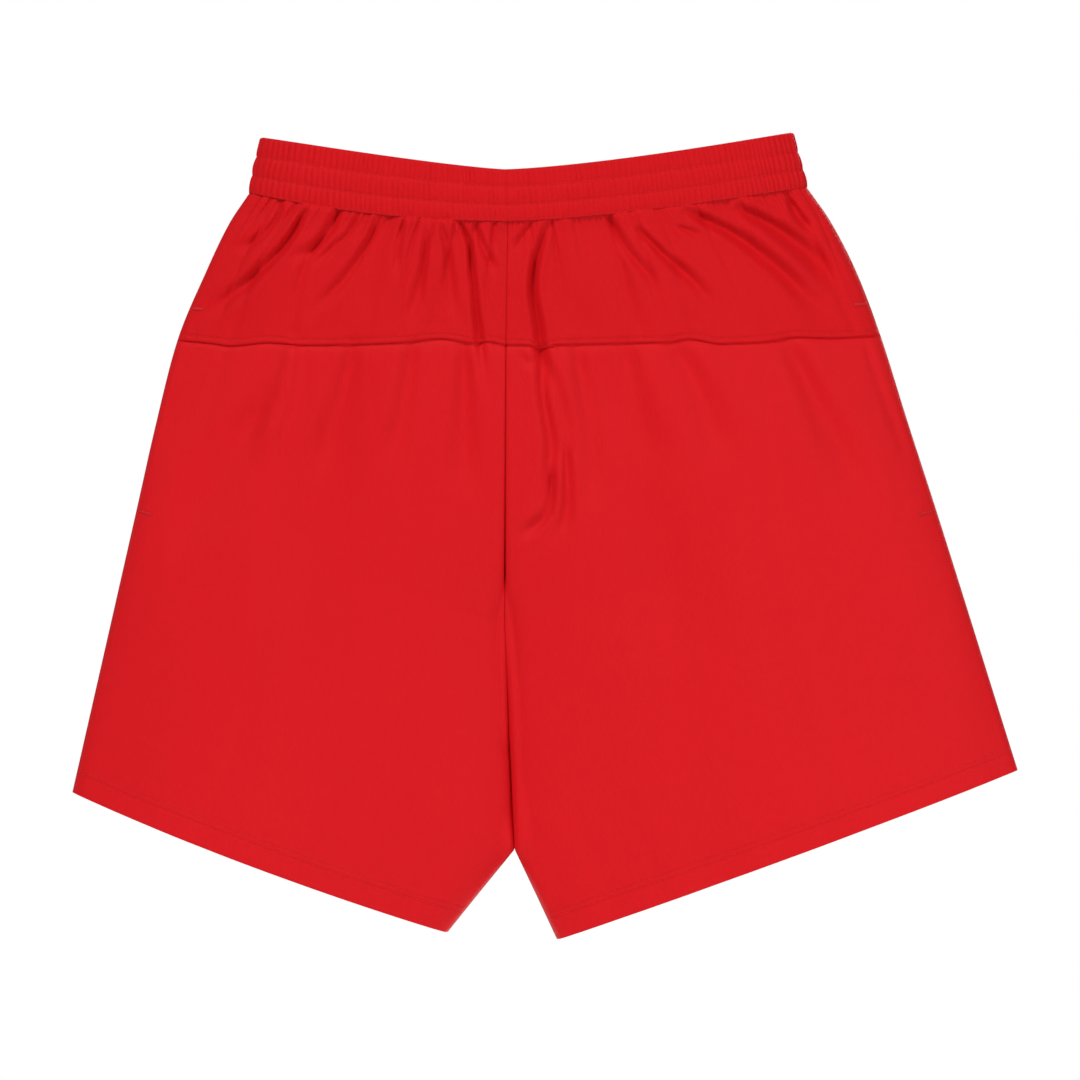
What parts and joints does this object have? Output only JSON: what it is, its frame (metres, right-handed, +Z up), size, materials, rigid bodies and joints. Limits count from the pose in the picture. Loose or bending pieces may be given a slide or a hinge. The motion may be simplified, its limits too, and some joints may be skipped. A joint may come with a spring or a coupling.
{
  "type": "boxing shorts",
  "caption": "Roomy red knitted boxing shorts with a gathered elastic waistband, a back yoke, side pockets and twin-stitched hems, hanging lightly opened.",
  "frame": {"origin": "middle of the waist opening, level with the waistband's top edge at mid-back", "axes": "+Z up through the waist, +X towards the wearer's right, +Y towards the wearer's front"},
  "size_m": [0.6986, 0.0936, 0.5954],
  "materials": {
    "red_knit": "satin polyester knit",
    "red_thread": "spun thread",
    "red_mesh": "matt knit",
    "white_elastic": "ribbed elastic",
    "white_label": "smooth ribbon"
  },
  "bodies": {
    "root": {"waistband_casing": "red_knit", "waistband_elastic": "white_elastic", "waist_stitch_upper": "red_thread", "waist_stitch_lower": "red_thread", "waist_join_stitch": "red_thread", "overlock_waist": "red_thread", "back_yoke_left": "red_knit", "back_yoke_right": "red_knit", "back_panel_left": "red_knit", "back_panel_right": "red_knit", "front_panel_left": "red_knit", "front_panel_right": "red_knit", "yoke_topstitch_left": "red_thread", "yoke_topstitch_right": "red_thread", "bartack_upper_left": "red_thread", "bartack_upper_right": "red_thread", "bartack_lower_left": "red_thread", "bartack_lower_right": "red_thread", "pocket_topstitch_left": "red_thread", "pocket_topstitch_right": "red_thread", "pocket_bag_left": "red_mesh", "pocket_bag_right": "red_mesh", "hem_stitch_upper_left": "red_thread", "hem_stitch_upper_right": "red_thread", "hem_stitch_lower_left": "red_thread", "hem_stitch_lower_right": "red_thread", "overlock_side_left": "red_thread", "overlock_side_right": "red_thread", "overlock_inseam_left": "red_thread", "overlock_inseam_right": "red_thread", "overlock_yoke_left": "red_thread", "overlock_yoke_right": "red_thread", "overlock_back_rise": "red_thread", "overlock_front_rise": "red_thread", "care_label": "white_label"}
  },
  "joints": []
}
